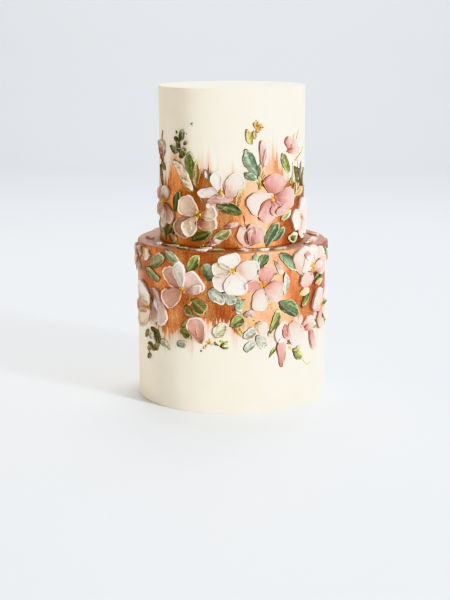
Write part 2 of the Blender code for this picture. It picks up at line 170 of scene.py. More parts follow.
UPPER_FLOWERS = [
    Flower("dusty_petals", (-93, 45), 9, strokes(
        (-94, 44, -113, 31, 14, "dusty"), (-94, 46, -110, 57, 14, "dusty"),
        (-92, 46, -86, 63, 16, "tan"), (-91, 44, -74, 24, 16, "dusty"), (-94, 42, -92, 17, 14, "tan"),
        (-93, 41, -97, 27, 12, "cream"))),
    Flower("blush_petals", (-37, 35), 12, strokes(
        (-50, 34, -63, 11, 24, "dusty"), (-38, 37, -61, 50, 23, "tan"), (-39, 33, -55, 14, 18, "cream"),
        (-42, 25, -15, 27, 14, "dusty"), (-36, 36, -16, 39, 15, "tan"))),
    Flower("white_petals", (-13, 61), 11, strokes(
        (-8, 57, -38, 60, 12, "lilac", -2), (-2, 50, -28, 46, 10, "blossom", 1),
        (2, 53, -26, 51, 10, "shell", -2), (-14, 61, -18, 84, 13, "snow"),
        (-5, 55, 8, 82, 20, "white", -1))),
    Flower("blush_petals", (46, 54), 12, strokes(
        (46, 56, 50, 80, 28, "rose"), (48, 55, 77, 50, 22, "rose"), (47, 56, 15, 47, 26, "white", 3),
        (45, 53, 35, 28, 22, "blush"), (47, 52, 54, 34, 18, "blush"), (74, 46, 48, 37, 11, "shell", 1))),
    Flower("blush_petals", (20, 5), 0, strokes(
        (19, 1, 10, 26, 12, "blossom", 3), (21, 2, 21, 27, 12, "rose", 1), (23, 2, 30, 24, 17, "blush"),
        (21, 3, 20, 23, 6, "shell", 1))),
    Flower("white_petals", (98, 27), 8, strokes(
        (99, 27, 119, 32, 16, "white"), (98, 25, 112, 9, 14, "pearl"), (98, 28, 103, 49, 20, "snow"),
        (96, 24, 94, 4, 12, "tan"), (97, 27, 74, 26, 23, "snow"))),
    Flower("blush_petals", (74, 99), 0, strokes(
        (70, 103, 66, 119, 9, "rose"), (71, 104, 81, 114, 10, "mauve"), (64, 102, 87, 104, 7, "mauve"))),
    Flower("blush_petals", (-98, 92), 0, strokes(
        (-99, 90, -103, 112, 8, "dusty"), (-97, 90, -93, 113, 9, "mauve"))),
    Flower("dusty_petals", (35, 88), 0, strokes(
        (37, 88, 38, 108, 7, "snow"), (34, 87, 33, 117, 8, "shell"))),
]

LOWER_FLOWERS = [
    Flower("blush_petals", (-146, 162), 8, strokes(
        (-147, 162, -162, 171, 13, "blush"), (-147, 161, -163, 153, 14, "tan"),
        (-145, 160, -138, 145, 14, "tan"), (-145, 163, -131, 171, 13, "blush"))),
    Flower("white_petals", (-113, 110), 10, strokes(
        (-110, 127, -86, 120, 13, "mauve", 3), (-88, 124, -85, 91, 13, "blossom", 3),
        (-97, 124, -93, 94, 10, "snow", 2), (-106, 105, -137, 88, 20, "cream"),
        (-112, 108, -142, 107, 18, "mauve"), (-105, 119, -101, 90, 12, "mauve", 4),
        (-105, 112, -138, 129, 22, "snow", -2))),
    Flower("dusty_petals", (-56, 135), 11, strokes(
        (-57, 136, -77, 159, 20, "mauve"), (-55, 135, -34, 150, 26, "blossom"),
        (-57, 137, -61, 166, 15, "snow"), (-56, 134, -82, 120, 21, "mauve"),
        (-50, 133, -33, 141, 10, "blossom", -1.5))),
    Flower("white_petals", (1, 158), 12, strokes(
        (3, 160, 29, 154, 24, "white", 2), (0, 160, -5, 177, 24, "snow"),
        (-1, 158, -22, 162, 16, "pearl"), (-1, 156, -19, 140, 18, "white"), (3, 157, 5, 132, 26, "snow"))),
    Flower("blush_petals", (34, 142), 12, strokes(
        (32, 142, 13, 142, 13, "salmon"), (33, 140, 27, 114, 18, "white"),
        (35, 143, 39, 163, 21, "salmon"), (35, 141, 56, 131, 23, "shell"))),
    Flower("white_petals", (103, 157), 26, strokes(
        (102, 160, 127, 172, 15, "blossom"), (105, 156, 137, 159, 14, "dusty", -1),
        (104, 152, 133, 149, 11, "mauve"), (101, 157, 98, 179, 27, "snow"),
        (91, 147, 82, 179, 27, "white", 2), (99, 160, 87, 173, 9, "rose", -1),
        (87, 149, 100, 167, 15, "snow", 1), (93, 133, 91, 150, 25, "blossom"),
        (97, 147, 124, 158, 9, "shell", 1.5))),
    Flower("white_petals", (127, 107), 9, strokes(
        (128, 108, 150, 121, 18, "white"), (128, 106, 148, 90, 16, "pearl"),
        (126, 106, 120, 82, 18, "shell"), (127, 106, 106, 120, 29, "white", -2))),
    Flower("blush_petals", (72, 94), 0, strokes(
        (57, 49, 55, 84, 11, "blush"), (98, 92, 107, 61, 10, "rose"), (60, 102, 51, 77, 14, "snow"),
        (82, 86, 103, 99, 13, "shell"), (88, 86, 104, 90, 8, "salmon"), (69, 99, 80, 73, 25, "white"),
        (60, 98, 63, 79, 9, "salmon"))),
    Flower("dusty_petals", (-38, 83), 0, strokes(
        (-33, 78, -43, 107, 20, "mauve"))),
]

UPPER_LEAVES = {
    "leaf": strokes(
        (-71, 36, -63, 60, 13, "forest"), (-88, 8, -72, 25, 13, "forest"),
        (-89, 4, -105, 19, 12, "sage"), (-73, 12, -68, 26, 5, "forest"), (-41, 63, -38, 94, 9, "ochre"),
        (-46, 61, -59, 74, 10, "ochre"), (-25, 75, -30, 86, 6, "grey_green"), (12, 83, 28, 72, 8, "sea"),
        (28, 77, 13, 108, 14, "sea"), (48, 6, 63, 21, 10, "teal"), (37, 2, 53, 27, 14, "teal"),
        (58, 28, 73, 38, 9, "sage"), (22, 111, 15, 129, 8, "gold_green"), (25, 117, 23, 127, 5, "ochre"),
        (26, 124, 33, 134, 6, "ochre"), (28, 127, 24, 136, 5, "gold_green"),
        (31, 64, 29, 80, 5, "gold_green"), (34, 66, 37, 80, 5, "ochre"),
        (32, 80, 31, 92, 4, "gold_green"), (71, 78, 58, 102, 11, "bright"), (76, 46, 83, 68, 9, "olive"),
        (72, 64, 78, 76, 6, "fern"), (83, 51, 100, 62, 8, "ochre"), (-98, 60, -104, 85, 7, "forest"),
        (-91, 80, -97, 90, 7, "olive"), (-92, 98, -93, 106, 5, "olive"), (-45, 70, -49, 104, 14, "fern"),
        (-61, 113, -59, 126, 6, "forest"), (-58, 115, -57, 127, 4, "mint"),
        (-63, 111, -69, 119, 4, "forest"), (-56, 111, -50, 115, 4, "olive"),
        (-63, 103, -64, 114, 5, "forest"), (-65, 101, -73, 108, 7, "mint"),
        (-70, 100, -77, 109, 4, "forest"), (-62, 95, -55, 106, 7, "fern"),
        (-58, 96, -62, 105, 5, "forest"), (-57, 103, -53, 109, 4, "ochre"),
        (-67, 104, -61, 106, 3, "pale"), (105, 60, 85, 84, 5, "forest"), (89, 64, 80, 87, 5, "fern"),
        (101, 64, 104, 82, 5, "forest"), (94, 68, 97, 91, 5, "sea"), (98, 67, 88, 68, 3, "forest")),
    "pad": strokes(
        (-21, 8, -2, 20, 12, "sage"), (-82, 7, -67, 7, 10, "dusty"), (69, 6, 87, 8, 12, "pale"),
        (-9, 24, 7, 27, 6, "blush")),
    "stem": strokes(
        (30, 63, 35, 96, 2.5, "ochre", 1.5), (78, 75, 78, 92, 2, "grey_green", 0.8),
        (88, 60, 88, 92, 2, "grey_green", -1), (84, 111, 90, 125, 1.5, "stem", 1),
        (84, 93, 105, 106, 1.5, "stem", -1.5), (-98, 111, -97, 124, 1.5, "stem", 0.8),
        (-49, 71, -30, 45, 2, "olive", 2), (12, 37, 15, 24, 2, "stem", 1), (-45, 69, -44, 60, 2, "stem"),
        (35, 84, 29, 62, 2, "stem", -1)),
}
# Leaves and dabs that lie over the petals
UPPER_OVERLAYS = {
    "leaf": strokes(
        (11, 38, -17, 46, 13, "forest", -2), (5, 44, 9, 65, 6, "ochre"), (-46, 7, -21, 19, 11, "forest"),
        (-30, 3, -11, 9, 7, "blush"), (-44, 62, -71, 94, 11, "cream", -1)),
    "pad": strokes(
        (74, 6, 83, 8, 7, "forest")),
}

LOWER_LEAVES = {
    "leaf": strokes(
        (-108, 155, -80, 170, 15, "sage"), (-118, 152, -88, 142, 12, "sage"),
        (-81, 177, -60, 164, 11, "pistachio"), (-50, 155, -36, 174, 13, "lime_forest"),
        (-53, 119, -45, 108, 8, "olive"), (-50, 126, -46, 119, 4, "ochre"),
        (-46, 111, -42, 107, 4, "mint"), (5, 131, 8, 114, 11, "mint"), (15, 128, 3, 124, 4, "mint"),
        (-58, 94, -45, 104, 8, "ochre"), (26, 177, 26, 163, 9, "mint"), (29, 163, 40, 177, 11, "teal"),
        (53, 177, 77, 155, 13, "fern_mint"), (52, 123, 81, 106, 16, "teal"),
        (43, 88, 54, 115, 10, "fern"), (3, 99, 12, 88, 7, "ochre"), (-2, 97, 13, 110, 13, "fern"),
        (71, 68, 86, 54, 11, "lime_forest"), (72, 64, 84, 70, 6, "sage"), (40, 61, 50, 73, 4, "bright"),
        (106, 139, 135, 148, 9, "teal"), (110, 134, 127, 138, 8, "ochre"),
        (124, 173, 160, 157, 13, "forest"), (97, 131, 85, 112, 10, "forest"),
        (104, 97, 112, 84, 9, "forest"), (-118, 73, -112, 83, 8, "olive"),
        (-107, 86, -92, 68, 10, "forest", 6), (-94, 84, -90, 70, 6, "fern", 1),
        (-114, 67, -100, 60, 5, "forest", 3), (-115, 60, -105, 65, 6, "ochre"),
        (-114, 51, -105, 54, 6, "olive"), (-99, 62, -91, 71, 7, "fern"),
        (-89, 74, -73, 67, 9, "pale", 2)),
    "pad": strokes(
        (-125, 168, -107, 168, 14, "cream"), (-21, 147, -30, 167, 13, "mint_forest"),
        (-45, 125, -28, 113, 16, "olive"), (-25, 139, -9, 124, 14, "grey_green"),
        (-10, 135, 3, 123, 12, "grey_green"), (-19, 85, -7, 102, 14, "pale"),
        (-13, 76, -5, 82, 3, "bright"), (-13, 76, -3, 74, 3, "fern"), (-14, 76, -20, 80, 3, "bright"),
        (-58, 89, -45, 88, 13, "fern"), (-64, 74, -50, 76, 8, "grey_green"),
        (46, 168, 57, 153, 7, "lavender"), (61, 129, 61, 154, 8, "grey_green"),
        (12, 110, 25, 113, 8, "lavender"), (1, 116, 11, 113, 5, "lavender"),
        (25, 99, 38, 95, 12, "pearl"), (12, 85, 26, 94, 11, "grey_green"),
        (13, 71, 25, 80, 11, "grey_green"), (26, 87, 38, 74, 12, "grey_green"),
        (80, 127, 96, 131, 8, "butter"), (-110, 77, -98, 78, 11, "white")),
    "stem": strokes(
        (41, 92, 40, 85, 2.5, "forest"), (26, 86, 24, 74, 1.5, "stem", 1),
        (86, 56, 98, 44, 1.2, "stem", -1), (-42, 107, -38, 80, 1.2, "ochre", 1)),
}
LOWER_OVERLAYS = {
    "leaf": strokes(
        (126, 110, 150, 110, 8, "olive"), (130, 98, 145, 81, 10, "fern")),
    "pad": strokes(
        (106, 94, 110, 88, 4, "pale")),
}

# Dabs on the ledge: x and y of the root, then of the tip, width and blend
LEDGE_DABS = strokes(
    (-98, 1, -88, -15, 6, "rose"), (-87, -38, -78, -54, 8, "white"), (-78, -50, -58, -71, 9, "sage"),
    (-60, -76, -48, -84, 6, "fern"), (-46, -86, -25, -95, 9, "white"), (-28, -95, -8, -94, 7, "olive"),
    (-38, -80, -22, -84, 5, "blush"), (4, -92, 18, -94, 6, "lavender"), (22, -91, 41, -86, 8, "white"),
    (40, -86, 58, -77, 9, "mint"), (88, 27, 100, 8, 8, "cream"), (83, -34, 94, -28, 8, "rose"),
    (87, -20, 96, -13, 7, "white"), (80, -48, 88, -42, 6, "sage"))

# Scattered flecks: along and up of their middle, their spread, how many, and their blend
Flecks = namedtuple("Flecks", "along up spread count blend")
UPPER_FLECKS = [Flecks(*row) for row in (
    (79, 118, 2.2, 8, "gold"), (28, 130, 4.0, 14, "gold"), (25, 136, 3.0, 4, "bronze"),
    (84, 92, 2.6, 9, "gold"), (-45, 133, 1.5, 3, "leaf"), (-67, 123, 1.5, 3, "leaf"),
    (-52, 122, 1.5, 3, "bronze"), (32, 70, 3.0, 7, "gold"), (-76, 20, 2.0, 4, "gold"),
    (-34, 2, 2.5, 4, "gold"))]
LOWER_FLECKS = [Flecks(*row) for row in (
    (105, 163, 2.5, 12, "gold"), (101, 153, 2.2, 10, "gold"), (-25, 80, 3.0, 16, "gold"),
    (-30, 74, 2.5, 6, "bronze"), (-34, 69, 1.5, 4, "bronze"), (-9, 79, 3.5, 8, "lime"),
    (43, 118, 4.5, 14, "gold"), (25, 106, 3.5, 9, "bronze"), (-109, 57, 4.0, 9, "leaf"),
    (66, 77, 3.0, 8, "bronze"), (69, 69, 2.0, 5, "gold"), (99, 47, 3.0, 7, "lime"),
    (8, 93, 3.0, 7, "gold"), (50, 170, 3.0, 5, "bronze"), (-46, 122, 1.5, 4, "gold"),
    (47, 154, 2.0, 5, "bronze"))]
FLECK_COLOURS = {
    "gold": ("F2CE6A", "DDA43A", "B07A2C"),
    "bronze": ("A66A28", "7C4A1E", "C99A4A"),
    "leaf": ("6F7F3E", "8E7A3E", "55682E"),
    "lime": ("B4C84A", "8CA838", "D8D878"),
}
# Colour of the pale buttercream that the knife drags over a petal or leaf
SMEAR_COLOUR = "E4DEC4"
# A fleck's sides and rings, each ring's width and height as shares of its radius, then the least
# and most of its radius in mm and of its length over its width, and how far it is sunk, in mm
FLECK_SIDES = 7
FLECK_RINGS = ((1.0, 0.0), (0.86, 0.5), (0.5, 0.86))
FLECK_RADII = (0.5, 1.15)
FLECK_STRETCHES = (1.0, 1.7)
FLECK_SUNK = 0.15
# The share of a group's spread over which its flecks are laid, and the spread of the stamens round
# an eye, in mm
FLECK_CROWDING = 0.6
STAMEN_SPREAD = 3.2

# Height of the copper band's ragged edge round the front, as along and up
UPPER_COPPER_EDGE = [
    (-128, 60), (-110, 60), (-92, 62), (-83, 66), (-80, 78), (-76, 88), (-71, 96), (-65, 87),
    (-56, 75), (-44, 70), (-34, 78), (-26, 78), (-20, 70), (-8, 66), (4, 68), (14, 73), (26, 75),
    (36, 79), (43, 85), (45.5, 90), (46.5, 110), (47.5, 95), (49, 100), (50.5, 94), (51.5, 106),
    (52.5, 92), (56, 84), (60, 78), (64, 69), (72, 63), (84, 61), (100, 64), (128, 60),
]
LOWER_COPPER_EDGE = [
    (-168, 112), (-150, 128), (-132, 130), (-120, 124), (-108, 108), (-96, 92), (-84, 88),
    (-70, 88), (-56, 92), (-44, 96), (-30, 102), (-16, 104), (-4, 100), (12, 96), (30, 98),
    (46, 99), (60, 98), (76, 102), (92, 102), (108, 98), (130, 98), (150, 102), (168, 112),
]
# Marks of the bristles past the edge: how many go round a tier, how far each strays from its even
# place, as a share of the step between them, their widths and how far they reach, in mm
BRISTLE_COUNT = 110
BRISTLE_STRAY = 0.4
BRISTLE_WIDTHS = (1.5, 5.0)
BRISTLE_REACH = (1.0, 13.0)
BRISTLE_SEED = 23

# How far fine and broad streaks carry the copper's edge, and the places past it, all in mm, where
# its cover and its stain start and are whole
STREAK_REACH = 44
BROAD_REACH = 22
COVER_EDGE = (-1.0, 3.0)
STAIN_EDGE = (-20.0, 1.0)

# Grid of the icing: its sides, the height of a row in mm, the rings of its top, the steps round its
# rim, and how far its foot is eased in, in mm
ICING_SIDES = 512
ICING_ROW = 1.4
TOP_RINGS = 24
RIM_STEPS = 5
FOOT_EASE = 0.6
# Stored paint, in mm past the band's edge, where there is no copper at all and where all is copper
NO_COPPER = -60.0
ALL_COPPER = 40.0
# The ledge's own colour has its share at the front up to the first angle from it, and is whole
# past the second
LEDGE_ANGLES = (0.45, 0.85)
LEDGE_AT_FRONT = 0.25

# The back repeats the front, turned half-way round, each piece a little shifted
BACK_SEED = 7
BACK_SHIFT = 1.2
OPEN_FLOWER_PETALS = 4

# The floor runs from the front to the sides' distance and bends up at the back, in metres
FLOOR_REACH = 4.0
FLOOR_BACK = 2.2
FLOOR_BEND = 1.2
WALL_TOP = 4.0
# What is left of the dim side's colour, and the place that most lights face
DIMMING = 0.6
LIT_MIDDLE = (0, 0, 0.2)
# The camera's place in metres, its tilt below the level in degrees, its lens and sensor in mm
CAMERA_PLACE = (-0.00745, -1.5204, 0.4234)
CAMERA_TILT = 11.84
CAMERA_LENS = 80.98
CAMERA_SENSOR = 36.0

Tier = namedtuple("Tier", "name radius foot top")


def linear(code):
    """Scene-linear red, green and blue of an sRGB code."""
    parts = [int(code[k:k + 2], 16) / 255 for k in (0, 2, 4)]
    return tuple(p / 12.92 if p <= 0.04045 else ((p + 0.055) / 1.055) ** 2.4 for p in parts)


def smooth(low, high, value):
    """0 below low, 1 above high and 3t^2 - 2t^3 of the share t between them."""
    share = np.clip((value - low) / (high - low), 0, 1)
    return share * share * (3 - 2 * share)


def blended(first, second, share):
    """A colour at each point, which goes from first to second as the point's share goes to 1."""
    return first + (second - first) * share[:, None]


def colour_setting(name, code, description):
    return bpy.props.FloatVectorProperty(
        name=name, description=description, subtype="COLOR", size=3, min=0, max=1,
        default=linear(code))


def number_setting(name, default, low, high, description, **more):
    return bpy.props.FloatProperty(
        name=name, description=description, default=default, min=low, max=high, **more)


def power_setting(name, default, description):
    return number_setting(name, default, 0, 500, "Power of the light " + description, unit="POWER")


class IcingSettings(bpy.types.PropertyGroup):
    """Sizes and colours of the scraped icing and the copper brushed on it."""

    ivory: colour_setting("Ivory", "FBF5E8", "Colour of the scraped icing")
    ivory_shade: colour_setting("Ivory shade", "F6EEDD", "Colour of the icing where it is thin")
    stain: colour_setting("Stain", "E3B99A", "Colour that the copper leaves where the brush lifts")
    # copper_shade and copper_light also colour the painted shade and the painted highlight on the copper
    # band
    copper_shade: colour_setting("Copper shade", "96482A", "Darkest copper in the brush marks")
    copper: colour_setting("Copper", "C8794C", "Colour of most of the copper")
    copper_light: colour_setting("Copper light", "F8D09A", "Brightest copper in the brush marks")
    ledge: colour_setting("Ledge", "A78478", "Colour of the lower tier's ledge")
    rim_rounding: number_setting("Rim rounding", 2.2, 0.5, 6, "Radius of each top edge, in mm")
    unevenness: number_setting(
        "Unevenness", 0.16, 0, 1, "How far the scraped side wanders in and out, in mm")
    metal: number_setting("Lustre", 0.75, 0, 1, "How metallic the copper is", subtype="FACTOR")


class KnifeSettings(bpy.types.PropertyGroup):
    """How the buttercream stands where the palette knife has spread it."""

    lean: number_setting(
        "Lean", 0.38, 0, 0.5, "How much thicker one side of a petal is than the other")
    grooves: number_setting(
        "Grooves", 0.07, 0, 0.4, "Depth of the grooves that the knife leaves, in mm")
    warp: number_setting("Warp", 0.5, 0, 1, "How far outlines stray from a true oval, in mm")
    softness: number_setting("Softness", 0.12, 0, 1, "How much light passes into the buttercream")


class StudioSettings(bpy.types.PropertyGroup):
    """Floor, lights and surroundings."""

    floor: colour_setting("Floor", "E5E8EC", "Colour of the floor")
    dim_side: colour_setting("Dim side", "DECFAC", "Colour of the light from the left")
    bright_side: colour_setting("Bright side", "F0F4FF", "Colour of the light from the right")
    ambient: number_setting("Ambient", 0.66, 0, 5, "Strength of the light from all round")
    key: power_setting("Key light", 42, "at the front right")
    fill: power_setting("Fill light", 7, "at the left")
    glint: power_setting("Glint light", 20, "that glances off the copper")
    top: power_setting("Top light", 12, "from above")
    wash: power_setting("Wash light", 42, "on the wall")


class Value:
    """A number that varies over a surface. An expression on Values adds its Math nodes."""

    def __init__(self, recipe, socket):
        self.recipe = recipe
        self.socket = socket

    def math(self, operation, *others):
        node = self.recipe.node("ShaderNodeMath", {"operation": operation},
                                dict(enumerate((self, *others))))
        return Value(self.recipe, node.outputs[0])

    def __add__(self, other):
        return self.math("ADD", other)

    __radd__ = __add__

    def __mul__(self, other):
        return self.math("MULTIPLY", other)

    __rmul__ = __mul__

    def __sub__(self, other):
        return self.math("SUBTRACT", other)

    def __rsub__(self, other):
        return self * -1 + other


class Recipe:
    """The nodes of a material or a world, each added by node()."""

    def __init__(self, owner):
        self.owner = owner
        owner.use_nodes = True
        self.tree = owner.node_tree
        self.tree.nodes.clear()

    def node(self, kind, settings=None, inputs=None):
        """Add a node: its settings first, stops being a ramp's, then its sockets' values or links."""
        node = self.tree.nodes.new(kind)
        for label, value in (settings or {}).items():
            if label == "stops":
                self.set_stops(node.color_ramp, value)
            else:
                setattr(node, label, value)
        for label, value in (inputs or {}).items():
            if isinstance(value, Value):
                value = value.socket
            if isinstance(value, bpy.types.NodeSocket):
                self.tree.links.new(value, node.inputs[label])
            else:
                node.inputs[label].default_value = value
        return node

    @staticmethod
    def set_stops(ramp, stops):
        while len(ramp.elements) < len(stops):
            ramp.elements.new(0.5)
        for element, (place, colour) in zip(ramp.elements, stops):
            element.position = place
            element.color = (*colour, 1.0)

    def place(self):
        return self.node("ShaderNodeTexCoord").outputs["Object"]

    def stored(self, name, output="Fac"):
        """A value, colour or vector that the mesh stores at its points."""
        return self.node("ShaderNodeAttribute", {"attribute_name": name}).outputs[output]

    def stretched(self, vector, scales):
        """A vector with each of its three parts scaled."""
        node = self.node("ShaderNodeVectorMath", {"operation": "MULTIPLY"}, {0: vector, 1: scales})
        return node.outputs[0]

    def slanted(self, stroke):
        """A stroke's vector, slanted so that lines of equal x run out from the rib like veins."""
        parts = self.node("ShaderNodeSeparateXYZ", None, {0: stroke}).outputs
        across = Value(self, parts[1])
        x = Value(self, parts[0]) - across.math("ABSOLUTE") * 0.9
        slant = self.node("ShaderNodeCombineXYZ", None, {0: x, 1: across * 0.15, 2: parts[2]})
        return slant.outputs[0]

    def round_x(self, place):
        """How far round to the right of the front a place is: -1 at the left, 1 at the right."""
        level = self.stretched(place, (1.0, 1.0, 0.0))
        unit = self.node("ShaderNodeVectorMath", {"operation": "NORMALIZE"}, {0: level})
        parts = self.node("ShaderNodeSeparateXYZ", None, {0: unit.outputs[0]})
        return Value(self, parts.outputs["X"])

    def noise(self, vector, scale, detail=2.0, roughness=0.5):
        """Even noise from 0 to 1."""
        node = self.node("ShaderNodeTexNoise", {"noise_dimensions": "3D"}, {
            "Vector": vector, "Scale": scale, "Detail": detail, "Roughness": roughness})
        return Value(self, node.outputs["Fac"])

    def rise(self, value, low, high, start=0.0, end=1.0):
        """start below low, end above high, and a smooth rise between them."""
        node = self.node("ShaderNodeMapRange", {"interpolation_type": "SMOOTHSTEP"}, {
            "Value": value, "From Min": low, "From Max": high, "To Min": start, "To Max": end})
        return Value(self, node.outputs["Result"])

    def mixed(self, share, first, second):
        """A colour that goes from first to second as share goes from 0 to 1."""
        node = self.node("ShaderNodeMix", {"data_type": "RGBA"}, {0: share, 6: first, 7: second})
        return node.outputs[2]

    def shaded(self, colour, light):
        """A colour made lighter or darker by a value."""
        node = self.node("ShaderNodeVectorMath", {"operation": "SCALE"}, {0: colour, "Scale": light})
        return node.outputs[0]

    def bump(self, height, distance, strength):
        node = self.node("ShaderNodeBump", None, {
            "Height": height, "Distance": distance, "Strength": strength})
        return node.outputs["Normal"]

    def surface(self, inputs, softness=0.0):
        """Finish a material with its shader. Light passes a little way into buttercream."""
        soft = {"Subsurface Weight": softness, "Subsurface Radius": (1.0, 0.7, 0.5),
                "Subsurface Scale": 0.003, "IOR": 1.45} if softness else {}
        shader = self.node("ShaderNodeBsdfPrincipled", None, {**soft, **inputs})
        self.node("ShaderNodeOutputMaterial", None, {"Surface": shader.outputs[0]})
        return self.owner


def solid(colour):
    return (*colour, 1.0)


def icing_material(name, look):
    """Scraped ivory icing. Where the stored paint, in mm past the band's edge, is above 0, copper
    covers it: streaks of noise drawn out along the brush make the edge ragged."""
    recipe = Recipe(bpy.data.materials.new(name))
    place = recipe.place()
    ledge = Value(recipe, recipe.stored("ledge"))
    brush = recipe.stretched(place, (1.0, 1.0, 0.055))
    streak = recipe.noise(brush, 420, 3.0, 0.6)
    broad = recipe.noise(recipe.stretched(place, (1.0, 1.0, 0.12)), 90, 2.0)
    cloud = recipe.noise(place, 30, 3.0)
    grain = recipe.noise(place, 1100, 2.0, 0.7)
    past = Value(recipe, recipe.stored("paint")) + (streak - 0.5) * STREAK_REACH
    past = past + (broad - 0.5) * BROAD_REACH
    cover = recipe.rise(past, *COVER_EDGE)
    stained = recipe.rise(past, *STAIN_EDGE)

    thin = recipe.rise(cloud, 0.35, 0.7, 0.0, 0.55)
    ivory = recipe.mixed(thin, solid(look.ivory), solid(look.ivory_shade))
    base = recipe.mixed(stained * 0.65, ivory, solid(look.stain))
    wash = recipe.noise(recipe.stretched(place, (1.0, 1.0, 0.6)), 45, 2.0)
    round_x = recipe.round_x(place)
    # A painted highlight on the copper a little right of the front, where the lamps glance off it, and
    # painted shade past it further round to the right
    painted_highlight = recipe.rise(round_x, -0.05, 0.3) * recipe.rise(round_x, 0.7, 0.42)
    tone = streak * 0.25 + broad * 0.15 + (wash - 0.5) * 0.5 + 0.26 + (grain - 0.5) * 0.7
    tone = tone + painted_highlight * 0.2 - recipe.rise(round_x, 0.55, 0.85) * 0.08
    ramp = recipe.node("ShaderNodeValToRGB", {"stops": (
        (0.3, look.copper_shade), (0.48, look.copper), (0.72, look.copper_light))}, {"Fac": tone})
    paint = recipe.mixed(ledge * recipe.rise(broad + grain * 0.4, 0.4, 0.75, 1.0, 0.6),
                         ramp.outputs[0], solid(look.ledge))
    lustre = cover * (1 - ledge * 0.7)
    scrape = recipe.noise(recipe.stretched(place, (0.25, 0.25, 1.0)), 380, 3.0)
    relief = scrape * 0.25 + cover * (streak * 0.5 + grain * 0.6)
    return recipe.surface({
        "Base Color": recipe.mixed(cover, base, paint),
        "Metallic": lustre * look.metal,
        "Roughness": 0.56 - cover * 0.15 + (grain - 0.5) * 0.3,
        "Normal": recipe.bump(relief, 0.0003, 0.7)}, softness=0.1)


def spread_material(name, knife, mottle, veining, gloss):
    """Buttercream spread by the knife: the stored tint, streaked along the stroke and mottled."""
    recipe = Recipe(bpy.data.materials.new(name))
    place = recipe.place()
    stroke = recipe.stored("stroke", "Vector")
    streak = recipe.noise(recipe.stretched(stroke, (0.10, 1.0, 1.0)), 1.5, 3.0, 0.6)
    cloud = recipe.noise(place, 260, 3.0, 0.6)
    grain = recipe.noise(place, 2200, 2.0)
    tint = recipe.stored("tint", "Color")
    veins = recipe.noise(recipe.slanted(stroke), 0.65, 3.0, 0.65)
    light = 1 + (streak - 0.5) * 0.2 + (cloud - 0.5) * mottle + (veins - 0.5) * veining
    patch = recipe.noise(recipe.stretched(stroke, (0.25, 0.8, 1.0)), 0.55, 3.0, 0.65)
    smeared = recipe.mixed(recipe.rise(patch, 0.56, 0.72, 0.0, mottle * 0.25),
                           recipe.shaded(tint, light), solid(linear(SMEAR_COLOUR)))
    relief = streak * 0.7 + grain * 0.15 + cloud * 0.3
    return recipe.surface({
        "Base Color": smeared,
        "Roughness": gloss + (grain - 0.5) * 0.15 + (streak - 0.5) * 0.2,
        "Normal": recipe.bump(relief, 0.00035, 0.8)}, knife.softness)


def fleck_material(name):
    """Ochre buttercream dusted with gold: the stored tint, with a grainy lustre."""
    recipe = Recipe(bpy.data.materials.new(name))
    place = recipe.place()
    grain = recipe.noise(place, 1800, 2.0, 0.7)
    light = 0.75 + recipe.noise(place, 500, 2.0) * 0.5
    return recipe.surface({
        "Base Color": recipe.shaded(recipe.stored("tint", "Color"), light),
        "Metallic": recipe.rise(grain, 0.45, 0.65, 0.05, 0.45),
        "Roughness": recipe.rise(grain, 0.3, 0.7, 0.55, 0.35),
        "Normal": recipe.bump(grain, 0.0002, 0.6)}, softness=0.05)


def add_object(name, data):
    placed = bpy.data.objects.new(name, data)
    bpy.context.scene.collection.objects.link(placed)
    return placed


def make_piece(name, points, faces, material, stored):
    """A smooth mesh piece on the cake, with values stored at its points."""
    mesh = bpy.data.meshes.new(name)
    mesh.from_pydata(points.tolist(), [], faces)
    for label, kind, field, values in stored:
        layer = mesh.attributes.new(label, kind, "POINT")
        layer.data.foreach_set(field, np.ascontiguousarray(values, dtype=np.float32).ravel())
    mesh.materials.append(material)
    mesh.shade_smooth()
    piece = add_object(name, mesh)
    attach(piece, "root")
    return piece


def closed_faces(rings, sides, start=0):
    """Faces of a closed skin: quads between rings that go round to the left seen from outside,
    and fans to the two poles, which come after the rings, the first ring's first."""
    ring, side = np.meshgrid(np.arange(rings - 1), np.arange(sides), indexing="ij")
    near = start + ring * sides
    a, b = near + side, near + (side + 1) % sides
    quads = np.stack([a, b, b + sides, a + sides], axis=-1).reshape(-1, 4)
    side = np.arange(sides)
    after = (side + 1) % sides
    last = start + (rings - 1) * sides
    first_pole = np.full(sides, start + rings * sides)
    under = np.stack([start + after, start + side, first_pole], axis=-1)
    over = np.stack([last + side, last + after, first_pole + 1], axis=-1)
    return quads.tolist() + under.tolist() + over.tolist()


def on_side(tier, along, up, out):
    """Points on a tier's side: the angle is along over the radius, the distance is radius and out."""
    angle = along / tier.radius
    reach = tier.radius + out
    return np.stack([reach * np.sin(angle), -reach * np.cos(angle), tier.foot / MM + up], axis=-1) * MM


def on_ledge(tier, x, y, out):
    """Points on the ledge: out is upwards from the tier's top."""
    return np.stack([x, y, tier.top / MM + out], axis=-1) * MM


def warped(along, up, amount):
    """Each place moved by slow sine waves of the other coordinate, so no outline is a true oval."""
    shifted = along + amount * (np.sin(0.31 * up + 1.3) + 0.5 * np.sin(0.83 * along + 0.47 * up))
    raised = up + amount * (np.sin(0.29 * along + 0.7) + 0.5 * np.sin(0.91 * up - 0.53 * along))
    return shifted, raised


